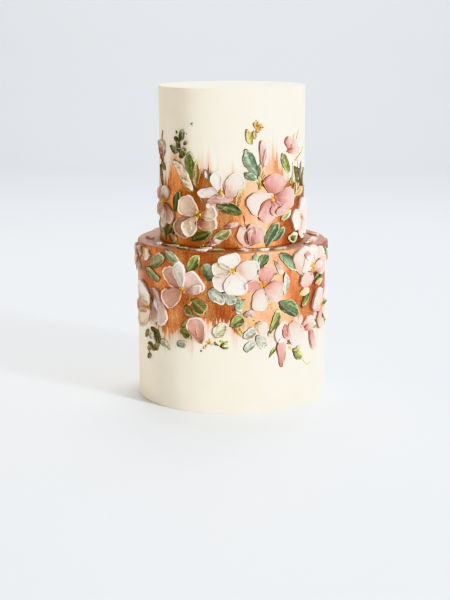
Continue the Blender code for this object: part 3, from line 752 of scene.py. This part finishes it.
class Dab:
    """One touch of the knife. Its outline comes from a turn, 0 at the root and pi at the tip:
    u = (1 - cos) / 2 along it and v = |sin|^point (1 - taper cos) across it. rho is the share of
    the way from its middle to that outline."""

    def __init__(self, stroke, form, layer, seed, knife):
        self.stroke, self.form, self.layer, self.knife = stroke, form, layer, knife
        run, rise = stroke.along1 - stroke.along0, stroke.up1 - stroke.up0
        self.length = math.hypot(run, rise)
        self.run, self.rise = run / self.length, rise / self.length
        draw = random.Random(seed)
        self.phases = [draw.uniform(0, 2 * math.pi) for _ in range(6)]
        self.thick_side = math.pi + draw.uniform(-THICK_SIDE_STRAY, THICK_SIDE_STRAY)
        self.taper = form.taper * draw.uniform(*TAPER_SHARES)
        self.pitch = draw.uniform(*GROOVE_PITCHES)
        self.seed = seed

    def reach(self):
        return (self.length + self.stroke.width) / 2 + abs(self.stroke.bend) + 1

    def middle(self):
        return (self.stroke.along0 + self.stroke.along1) / 2, (self.stroke.up0 + self.stroke.up1) / 2

    def wander(self, turn):
        """The outline's size round the dab, as a share of the true oval's."""
        a, b, c = self.phases[:3]
        waves = np.sin(3 * turn + a) + 0.7 * np.sin(5 * turn + b)
        waves = waves + 0.4 * np.sin(11 * turn + c) + 0.3 * np.sin(17 * turn + a + b)
        return 1 + self.form.wander * waves

    def lay_out(self, rho, turn):
        """(u, v, along, up) of places given by rho and turn."""
        size = rho * self.wander(turn)
        side = np.sin(turn)
        half = np.sign(side) * np.abs(side) ** self.form.point * (1 - self.taper * np.cos(turn))
        u, v = 0.5 - size * np.cos(turn) / 2, size * half
        across = v * self.stroke.width / 2 + self.stroke.bend * 4 * u * (1 - u)
        along = self.stroke.along0 + u * self.length * self.run - across * self.rise
        up = self.stroke.up0 + u * self.length * self.rise + across * self.run
        return u, v, along, up

    def locate(self, along, up):
        """(rho, turn, u, v) of places, rho found by halving the interval that holds it."""
        x, y = along - self.stroke.along0, up - self.stroke.up0
        u = (x * self.run + y * self.rise) / self.length
        across = y * self.run - x * self.rise - self.stroke.bend * 4 * u * (1 - u)
        v = across / (self.stroke.width / 2)
        lean = 1 - 2 * u
        low, high = np.abs(lean), np.full_like(lean, 3.0)
        for _ in range(14):
            size = (low + high) / 2
            cosine = np.clip(lean / np.maximum(size, 1e-6), -1, 1)
            half = size * (1 - cosine ** 2) ** (self.form.point / 2) * (1 - self.taper * cosine)
            wide = half > np.abs(v)
            low, high = np.where(wide, low, size), np.where(wide, size, high)
        turn = np.arccos(np.clip(lean / np.maximum(high, 1e-6), -1, 1)) * np.where(v < 0, -1, 1)
        return high / self.wander(turn), turn, u, v

    def grooves(self, u, v):
        """Waves across the fan of directions that spreads from the root, from -1 to 1."""
        fan = np.arctan2(v * self.stroke.width / 2, (u + 0.25) * self.length)
        c, d = self.phases[2:4]
        return (np.sin(self.pitch * fan + c) + 0.6 * np.sin(2.3 * self.pitch * fan + d)) / 1.6

    def relief(self, rho, turn, u, v):
        """Height above the side: a hollow that climbs with a power of rho to a crest, a ridge at
        the rim, a rib pressed along a leaf's middle, a slow swell and grooves. One side of the
        crest is thicker."""
        form, (a, b) = self.form, self.phases[4:]
        crest = form.root + (form.tip - form.root) * np.clip(u, 0, 1)
        crest = crest * (1 + self.knife.lean * np.cos(turn - self.thick_side) * rho)
        bowl = form.hollow + (1 - form.hollow) * rho ** BOWL_POWER
        lumps = 1 + LUMPS[0] * np.sin(7 * turn + a) + LUMPS[1] * np.sin(12 * turn + b)
        ridge = form.ridge * lumps * np.exp(-((rho - RIM_SHARE) / RIDGE_WIDTH) ** 2)
        rib = form.rib * np.exp(-(v / RIB_WIDTH) ** 2) * (1 - rho ** 6)
        swell = SWELL * form.tip * np.sin(5 * u + 2.5 * v + b) * (1 - rho ** 4)
        grooves = self.knife.grooves * self.grooves(u, v) * (1 - rho ** 4)
        return crest * bowl + ridge - rib + swell + grooves

    def fall(self, rho):
        """1 inside the rim, then a quarter of an ellipse down to 0 at the outline."""
        past = np.clip((rho - RIM_SHARE) / (1 - RIM_SHARE), 0, 1)
        return np.sqrt(1 - past ** 2)

    def height(self, along, up):
        """Height of the dab at places on the side, and whether they are inside it."""
        rho, turn, u, v = self.locate(along, up)
        inside = rho < 1
        rho = np.minimum(rho, 1)
        fall = self.fall(rho)
        return self.relief(rho, turn, u, v) * fall - SUNK * (1 - fall), inside

    def tint(self, rho, turn, u, v):
        """Colour of the dab. The knife is loaded with two tones, so a petal goes from its root's
        colour to its rim's along it. Towards its thick side it goes so too, as a painted highlight, and
        towards its left it goes back to its root's colour, as painted shade. A leaf has one colour on
        each side of its rib and is painted lighter towards its thick side, a painted highlight. The
        crease inside the rim is darker, a painted shade, and the rim paler in the knife's pale tone,
        most where it is thick, which is partly a painted highlight. leftward is 0 at the middle and 1
        at the left edge, which lies away from the light; the dark line at each dab's foot is a painted
        shadow, darkest there."""
        petal = self.stroke.blend in PETAL_BLENDS
        codes = (PETAL_BLENDS if petal else LEAF_BLENDS)[self.stroke.blend]
        first, second, rim = (np.array(linear(code)) for code in codes)
        half = self.stroke.width / 2
        depth = (1 - rho) * half
        grooves = self.grooves(u, v)
        # lit is 1 towards the thick side, which is painted lighter, as a painted highlight
        lit = np.cos(turn - self.thick_side)
        leftward = (0.5 - u) * self.length * self.run / half + v * self.rise
        near_left = smooth(-0.2, 0.8, leftward)

        if petal:
            # The two tones, with painted light: lighter towards the thick side, darker towards the left,
            # away from the light
            tone = 0.52 + 0.3 * (2 * u - 1 + lit * rho - leftward) + 0.07 * grooves
            body = blended(first, second, smooth(0.0, 0.55, tone))
            body = blended(body, rim, smooth(0.55, 1.15, tone) * 0.5)
        else:
            body = blended(first, second, smooth(-0.5, 0.5, v + 0.3 * grooves))
            body = body * (1 + 0.15 * grooves + 0.15 * lit * rho)[:, None]
        # Painted shade in the crease inside the rim, less towards the thick side
        crease = CREASE_SHADE * min(1, self.stroke.width / CREASE_FULL) * (1 - 0.5 * lit)
        crease = crease * np.exp(-((depth - CREASE_DEPTH) / CREASE_WIDTH) ** 2) * smooth(0.1, 0.6, u)
        body = body * (1 - crease)[:, None]

        if petal:
            # Painted shade: near its left rim a petal is darkened to its root's colour, more on the right
            # of the cake, where its pale rim is also taken off
            facing_light = 1.0 if self.stroke.along0 > 0 else 0.0
            painted_left_shade = (0.4 + 0.4 * facing_light) * near_left * smooth(0.3, 0.1, 1 - rho)
            body = blended(body, first, painted_left_shade)
            a, b = self.phases[:2]
            ragged = 0.3 * np.sin(7 * turn + a) + 0.2 * np.sin(12 * turn + b)
            # The pale rim in the knife's pale tone, most on the thick side and towards the tip, partly a
            # painted highlight
            edge = smooth(1.5, 0.95, depth) * np.clip(0.2 + 0.5 * lit + 0.5 * u + ragged, 0, 1)
            edge = edge * (1 - 0.8 * near_left * facing_light)
        else:
            # A leaf's pale rim, most on the thick side, partly a painted highlight
            edge = smooth(1.2, 0.8, depth) * np.clip(0.35 + 0.65 * lit, 0, 1)
        vein = 0.18 * np.exp(-(v / RIB_WIDTH) ** 2) * (self.form.rib > 0)
        smear = (0.12 if petal else 0.3) * smooth(0.2, 1.0, grooves * (0.4 + u))
        body = blended(body, rim, np.maximum(np.maximum(edge, vein), smear))

        # Painted shadow: a dark line along each dab's foot, wider and darker on its left, away from the
        # light
        line = 0.3 + 0.5 * near_left
        strength = 0.25 + 0.3 * near_left if petal else 0.5 + 0.4 * near_left
        foot = strength * smooth(line + 0.15, line - 0.15, depth)
        return np.clip(blended(body, np.array(linear(FOOT_SHADOW_COLOUR)), foot), 0, 1)

    def skin(self, below, surface, tier):
        """Points, faces and stored values of the dab, lifted over the dabs that lie below it."""
        form = self.form
        turns = -2 * np.pi * np.arange(form.sides) / form.sides
        rho, turn = (grid.ravel() for grid in np.meshgrid(form.rings, turns, indexing="ij"))
        rho, turn = np.append(rho, (0.0, 0.0)), np.append(turn, (0.0, 0.0))
        u, v, along, up = self.lay_out(rho, turn)
        lifted = self.relief(rho, turn, u, v)
        for other in below:
            under, inside = other.height(along, up)
            step = LAYER_STEP * (self.layer - other.layer)
            lifted = np.where(inside, np.maximum(lifted, under + step), lifted)
        fall = self.fall(rho)
        spare = PROUDEST - EASED_FROM
        eased = EASED_FROM + spare * np.tanh((lifted - EASED_FROM) / spare)
        out = np.where(lifted > EASED_FROM, eased, lifted) * fall - SUNK * (1 - fall)
        out[-2] = -SUNK
        along, up = warped(along, up, self.knife.warp)
        points = surface(tier, along, up, out)
        stroke = np.stack([u * self.length, v * self.stroke.width / 2,
                           np.full_like(u, 7.3 * self.seed)], axis=-1)
        return points, self.tint(rho, turn, u, v), stroke


def touching(dab, others):
    """The dabs of lower layers near enough to lie under a dab."""
    along, up = dab.middle()
    found = []
    for other in others:
        a, b = other.middle()
        if other.layer < dab.layer and math.hypot(a - along, b - up) < dab.reach() + other.reach():
            found.append(other)
    return found


def join_dabs(name, dabs, all_dabs, surface, tier, material):
    """One piece of several dabs, each a closed skin of its own."""
    points, faces, tints, knifed = [], [], [], []
    start = 0
    for dab in dabs:
        skin, tint, stroke = dab.skin(touching(dab, all_dabs), surface, tier)
        points.append(skin)
        faces += closed_faces(len(dab.form.rings), dab.form.sides, start)
        tints.append(tint)
        knifed.append(stroke)
        start += len(skin)
    return make_piece(name, np.concatenate(points), faces, material, [
        ("tint", "FLOAT_COLOR", "color", opaque(np.concatenate(tints))),
        ("stroke", "FLOAT_VECTOR", "vector", np.concatenate(knifed)),
    ])


def opaque(colours):
    return np.concatenate([colours, np.ones((len(colours), 1))], axis=1)


def moved(stroke, shift):
    return stroke._replace(along0=stroke.along0 + shift, along1=stroke.along1 + shift)


class Layout:
    """Every dab on one tier's side, front and back, in the order in which they are laid."""

    def __init__(self, tier, flowers, leaves, overlays, flecks, knife):
        self.tier, self.knife = tier, knife
        self.half_way = math.pi * tier.radius
        self.seed = int(tier.radius)
        draw = random.Random(BACK_SEED)
        self.flowers, self.leaves, self.flecks, self.eyes = [], [], list(flecks), []
        turned = []
        for flower in flowers:
            if len(flower.petals) >= OPEN_FLOWER_PETALS:
                shift = self.half_way + draw.uniform(-BACK_SHIFT, BACK_SHIFT)
                eye = (flower.eye[0] + shift, flower.eye[1])
                petals = [moved(petal, shift) for petal in flower.petals]
                turned.append(Flower(flower.slot, eye, flower.stamens, petals))
        for flower in list(flowers) + turned:
            petals = [self.dab(p, "petal", 2 + k) for k, p in enumerate(flower.petals)]
            self.flowers.append((flower.slot, petals))
            self.eyes.append((*flower.eye, flower.stamens))
        buds = [f for f in flowers if len(f.petals) < OPEN_FLOWER_PETALS]
        for lifted, group in ((1, leaves), (10, overlays)):
            for form, rows in group.items():
                self.leaves += [self.dab(s, form, lifted) for s in rows]
                self.leaves += [self.dab(self.behind(s, draw), form, lifted) for s in rows]
        for bud in buds:
            for k, petal in enumerate(bud.petals):
                self.leaves.append(self.dab(self.behind(petal, draw), "pad", 2 + k))
        self.flecks += [f._replace(along=f.along + self.half_way) for f in flecks]
        self.all = sorted(self.leaves + [p for _, petals in self.flowers for p in petals],
                          key=lambda dab: dab.layer)

    def dab(self, stroke, form, layer):
        self.seed += 1
        return Dab(stroke, FORMS[form], layer, self.seed, self.knife)

    def behind(self, stroke, draw):
        return moved(stroke, self.half_way + draw.uniform(-BACK_SHIFT, BACK_SHIFT))

    def top_at(self, along, up):
        """Height of whatever lies uppermost at places on the side."""
        top = np.zeros_like(along)
        reach = np.abs(along - along.mean()).max() + np.abs(up - up.mean()).max()
        for dab in self.all:
            a, b = dab.middle()
            if math.hypot(a - along.mean(), b - up.mean()) < dab.reach() + reach:
                own, inside = dab.height(along, up)
                top = np.where(inside, np.maximum(own, top + LAYER_STEP), top)
        return top


def fleck_piece(name, layout, material):
    """Low domes scattered round each flower's eye and over the flecked places. A dome is rings of
    the unit circle, stretched, turned by its slant and set on what lies under its middle."""
    draw = random.Random(layout.seed)
    turns = 2 * np.pi * np.arange(FLECK_SIDES) / FLECK_SIDES
    wide, high = (np.array(column) for column in zip(*FLECK_RINGS))
    ring_x = np.append(np.outer(wide, np.cos(turns)).ravel(), (0.0, 0.0))
    ring_y = np.append(np.outer(wide, np.sin(turns)).ravel(), (0.0, 0.0))
    ring_out = np.append(np.repeat(high, FLECK_SIDES), (0.0, 1.0))

    stars = [Flecks(along, up, STAMEN_SPREAD, count * 2, "gold") for along, up, count in layout.eyes]
    points, faces, tints = [], [], []
    for group in stars + layout.flecks:
        if not group.count:
            continue
        spread = group.spread * FLECK_CROWDING
        along = np.array([draw.gauss(group.along, spread) for _ in range(group.count)])
        up = np.array([draw.gauss(group.up, spread) for _ in range(group.count)])
        for a, b, level in zip(along, up, layout.top_at(along, up)):
            radius = draw.uniform(*FLECK_RADII)
            stretch = draw.uniform(*FLECK_STRETCHES)
            slant = draw.uniform(0, math.pi)
            colour = linear(draw.choice(FLECK_COLOURS[group.blend]))
            x, y = ring_x * stretch * radius, ring_y * radius
            out = np.minimum(level - FLECK_SUNK + ring_out * radius, PROUDEST)
            cos, sin = math.cos(slant), math.sin(slant)
            faces += closed_faces(len(FLECK_RINGS), FLECK_SIDES, len(points) * len(out))
            points.append(on_side(layout.tier, a + x * cos - y * sin, b + x * sin + y * cos, out))
            tints.append(np.tile(colour, (len(out), 1)))
    return make_piece(name, np.concatenate(points), faces, material, [
        ("tint", "FLOAT_COLOR", "color", opaque(np.concatenate(tints)))])


def band_edge(tier, edge, along):
    """Height of the copper's edge at distances round the tier: straight lines between the named
    places of the front, the same again round the back."""
    half = math.pi * tier.radius
    wrapped = (along + half / 2) % half - half / 2
    places, heights = zip(*edge)
    return np.interp(wrapped, places, heights)


def bristle_marks(tier, along):
    """How far the brush's bristles go past the band's edge: the tallest of many pointed marks."""
    draw = random.Random(BRISTLE_SEED)
    around = 2 * math.pi * tier.radius
    marks = np.zeros_like(along)
    for k in range(BRISTLE_COUNT):
        middle = around * (k + draw.uniform(-BRISTLE_STRAY, BRISTLE_STRAY)) / BRISTLE_COUNT
        width = draw.uniform(*BRISTLE_WIDTHS)
        reach = draw.uniform(*BRISTLE_REACH)
        away = np.abs((along - middle + around / 2) % around - around / 2)
        marks = np.maximum(marks, reach * (1 - away / width))
    return marks


def ice_tier(name, tier, edge, upwards, look):
    """The icing of one tier: a profile turned round the axis, from the middle of its foot up its
    side, round its rim and in over its top. The side wanders in and out by slow sine waves."""
    radius, height, rim = tier.radius, (tier.top - tier.foot) / MM, look.rim_rounding
    turn = np.linspace(0, np.pi / 2, RIM_STEPS + 1)
    side_rows = np.linspace(FOOT_EASE, height - rim, int(height / ICING_ROW))
    profile_r = np.concatenate([
        [radius * 0.5, radius - 2 * FOOT_EASE, radius - FOOT_EASE * 0.3],
        np.full(len(side_rows), radius),
        radius - rim * (1 - np.cos(turn[1:])),
        np.linspace(radius - rim, 0, TOP_RINGS + 1)[1:-1]])
    profile_z = np.concatenate([
        [0, 0, FOOT_EASE * 0.3],
        side_rows,
        height - rim * (1 - np.sin(turn[1:])),
        np.full(TOP_RINGS - 1, height)])
    angles = 2 * np.pi * np.arange(ICING_SIDES) / ICING_SIDES
    r, angle = np.meshgrid(profile_r, angles, indexing="ij")
    z = np.repeat(profile_z, ICING_SIDES).reshape(r.shape)
    wave = np.sin(3 * angle + 0.021 * z + 1) + 0.6 * np.sin(7 * angle - 0.05 * z)
    wave = wave + 0.5 * np.sin(0.11 * z)
    r = r - look.unevenness * (1 + wave / 2.1) / 2 * (z > 0)
    along = angle * radius
    past = (z - band_edge(tier, edge, along)) * (-1 if upwards else 1) + bristle_marks(tier, along)
    flat = z > height - rim * 0.5
    top_paint = NO_COPPER if upwards else ALL_COPPER
    paint = np.where(z == 0, NO_COPPER, np.where(flat, top_paint, past))
    from_front = np.abs((angle + np.pi) % (2 * np.pi) - np.pi)
    share = LEDGE_AT_FRONT + (1 - LEDGE_AT_FRONT) * smooth(*LEDGE_ANGLES, from_front)
    ledge = np.where(flat, 0.0 if upwards else 1.0, 0.0) * share
    points = np.stack([r * np.sin(angle), -r * np.cos(angle), tier.foot / MM + z], axis=-1)
    poles = [[0, 0, tier.foot / MM], [0, 0, tier.top / MM]]
    points = np.concatenate([points.reshape(-1, 3), poles]) * MM
    faces = closed_faces(len(profile_r), ICING_SIDES)
    return make_piece(name, points, faces, icing_material(name, look), [
        ("paint", "FLOAT", "value", np.append(paint, [NO_COPPER, top_paint])),
        ("ledge", "FLOAT", "value", np.append(ledge, [0.0, ledge[-1, 0]])),
    ])


def tiers():
    """The two tiers as the frame has them."""
    return (Tier("lower", LOWER_RADIUS, 0.0, LOWER_TOP),
            Tier("upper", UPPER_RADIUS, UPPER_FOOT, UPPER_TOP))


def layouts(knife):
    lower, upper = tiers()
    return (
        Layout(lower, LOWER_FLOWERS, LOWER_LEAVES, LOWER_OVERLAYS, LOWER_FLECKS, knife),
        Layout(upper, UPPER_FLOWERS, UPPER_LEAVES, UPPER_OVERLAYS, UPPER_FLECKS, knife),
    )


class CAKE_OT_ice_tiers(bpy.types.Operator):
    """Scrape ivory icing over both tiers and brush the copper band round them"""

    bl_idname = "cake.ice_tiers"
    bl_label = "Ice the tiers"

    def execute(self, context):
        look = context.scene.cake_icing
        edges = ((LOWER_COPPER_EDGE, False), (UPPER_COPPER_EDGE, True))
        for tier, (edge, upwards) in zip(tiers(), edges):
            icing = ice_tier(tier.name + "_icing", tier, edge, upwards, look)
            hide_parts(tier.name + "_tier")
        return {"FINISHED"}


class CAKE_OT_lay_leaves(bpy.types.Operator):
    """Spread the leaves, the stems and the dabs on the ledge"""

    bl_idname = "cake.lay_leaves"
    bl_label = "Lay the leaves"

    def execute(self, context):
        knife = context.scene.cake_knife
        material = spread_material("leaf_buttercream", knife, mottle=1.2, veining=2.4, gloss=0.58)
        for layout in layouts(knife):
            name = layout.tier.name + "_leaves"
            piece = join_dabs(name, layout.leaves, layout.all, on_side, layout.tier, material)
        lower = tiers()[0]
        dabs = [Dab(s, FORMS["pad"], 1, k, knife) for k, s in enumerate(LEDGE_DABS)]
        piece = join_dabs("ledge_dabs", dabs, [], on_ledge, lower, material)
        return {"FINISHED"}


class CAKE_OT_lay_flowers(bpy.types.Operator):
    """Spread the petals of every flower, one piece for each flower"""

    bl_idname = "cake.lay_flowers"
    bl_label = "Lay the flowers"

    def execute(self, context):
        knife = context.scene.cake_knife
        material = spread_material("petal_buttercream", knife, mottle=0.3, veining=0.4, gloss=0.46)
        for layout in layouts(knife):
            for k, (slot, petals) in enumerate(layout.flowers):
                node = f"{layout.tier.name}_flower_{k + 1:02d}"
                piece = join_dabs(node + "_petals", petals, layout.all, on_side, layout.tier, material)
                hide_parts(node)
        return {"FINISHED"}


class CAKE_OT_dot_stamens(bpy.types.Operator):
    """Dot the flowers' eyes and the sprays of flecks with ochre and gold"""

    bl_idname = "cake.dot_stamens"
    bl_label = "Dot the stamens"

    def execute(self, context):
        knife = context.scene.cake_knife
        material = fleck_material("gold_buttercream")
        for layout in layouts(knife):
            piece = fleck_piece(layout.tier.name + "_stamens", layout, material)
        return {"FINISHED"}


def add_light(name, place, target, size, power, colour):
    """A square area light that faces its target."""
    lamp = bpy.data.lights.new(name, "AREA")
    lamp.size, lamp.energy, lamp.color = size, power, colour
    light = add_object(name, lamp)
    light.location = place
    away = [p - t for p, t in zip(place, target)]
    light.rotation_euler = (math.atan2(math.hypot(*away[:2]), away[2]), 0,
                            math.atan2(away[1], away[0]) + math.pi / 2)


class CAKE_OT_set_stage(bpy.types.Operator):
    """Lay the floor and set the lights and the camera"""

    bl_idname = "cake.set_stage"
    bl_label = "Set the stage"

    def execute(self, context):
        studio = context.scene.cake_studio
        turn = np.linspace(0, np.pi / 2, 13)
        run = np.concatenate([[-FLOOR_REACH, 0.0], FLOOR_BACK + FLOOR_BEND * np.sin(turn),
                              [FLOOR_BACK + FLOOR_BEND]])
        rise = np.concatenate([[0.0, 0.0], FLOOR_BEND * (1 - np.cos(turn)), [WALL_TOP]])
        points = [(x, y, z) for x in (-FLOOR_REACH, FLOOR_REACH) for y, z in zip(run, rise)]
        count = len(run)
        faces = [(k, count + k, count + k + 1, k + 1) for k in range(count - 1)]
        mesh = bpy.data.meshes.new("floor")
        mesh.from_pydata(points, [], faces)
        mesh.shade_smooth()
        recipe = Recipe(bpy.data.materials.new("pale_floor"))
        mesh.materials.append(recipe.surface({"Base Color": solid(studio.floor), "Roughness": 0.6}))
        add_object("floor", mesh)

        world = Recipe(bpy.data.worlds.new("studio"))
        place = world.node("ShaderNodeTexCoord").outputs["Generated"]
        parts = world.node("ShaderNodeSeparateXYZ", None, {0: place})
        share = world.node("ShaderNodeMapRange", None, {"Value": parts.outputs["X"], "From Min": -1.0})
        dim = [DIMMING * part for part in solid(studio.dim_side)]
        background = world.node("ShaderNodeBackground", None, {
            "Color": world.mixed(share.outputs["Result"], dim, solid(studio.bright_side)),
            "Strength": studio.ambient})
        world.node("ShaderNodeOutputWorld", None, {"Surface": background.outputs[0]})
        context.scene.world = world.owner

        add_light("key", (1.5, -1.3, 1.2), LIT_MIDDLE, 0.3, studio.key, (0.91, 0.96, 1.0))
        add_light("fill", (-1.7, 0.0, 0.5), LIT_MIDDLE, 1.2, studio.fill, (1.0, 0.84, 0.58))
        add_light("glint", (1.35, -1.45, 0.25), LIT_MIDDLE, 0.5, studio.glint, (1.0, 0.93, 0.82))
        add_light("top", (0.1, 0.8, 1.6), LIT_MIDDLE, 0.8, studio.top, (1.0, 0.99, 0.98))
        add_light("wash", (0, 0.9, 2.6), (0, 3.2, 0.6), 2.0, studio.wash, (0.97, 0.99, 1.0))

        camera = add_object("camera", bpy.data.cameras.new("camera"))
        camera.data.lens = CAMERA_LENS
        camera.data.sensor_width = CAMERA_SENSOR
        camera.location = CAMERA_PLACE
        camera.rotation_euler = (math.radians(90 - CAMERA_TILT), 0, 0)
        context.scene.camera = camera
        context.scene.view_settings.view_transform = "Khronos PBR Neutral"
        return {"FINISHED"}


OPERATORS = (CAKE_OT_ice_tiers, CAKE_OT_lay_leaves, CAKE_OT_lay_flowers, CAKE_OT_dot_stamens,
             CAKE_OT_set_stage)
SETTINGS = {"cake_icing": IcingSettings, "cake_knife": KnifeSettings, "cake_studio": StudioSettings}


class CAKE_PT_cake(bpy.types.Panel):
    """Settings and steps of the cake"""

    bl_label = "Cake"
    bl_idname = "CAKE_PT_cake"
    bl_space_type = "VIEW_3D"
    bl_region_type = "UI"
    bl_category = "Cake"

    def draw(self, context):
        for label, group in SETTINGS.items():
            box = self.layout.box()
            for setting in group.__annotations__:
                box.prop(getattr(context.scene, label), setting)
        for operator in OPERATORS:
            self.layout.operator(operator.bl_idname)


CLASSES = (*SETTINGS.values(), *OPERATORS, CAKE_PT_cake)


def register():
    for kind in CLASSES:
        bpy.utils.register_class(kind)
    for label, group in SETTINGS.items():
        setattr(bpy.types.Scene, label, bpy.props.PointerProperty(type=group))


def unregister():
    for label in SETTINGS:
        delattr(bpy.types.Scene, label)
    for kind in reversed(CLASSES):
        bpy.utils.unregister_class(kind)


def main():
    register()
    bpy.ops.cake.ice_tiers()
    bpy.ops.cake.lay_leaves()
    bpy.ops.cake.lay_flowers()
    bpy.ops.cake.dot_stamens()
    bpy.ops.cake.set_stage()


if __name__ == "__main__":
    main()
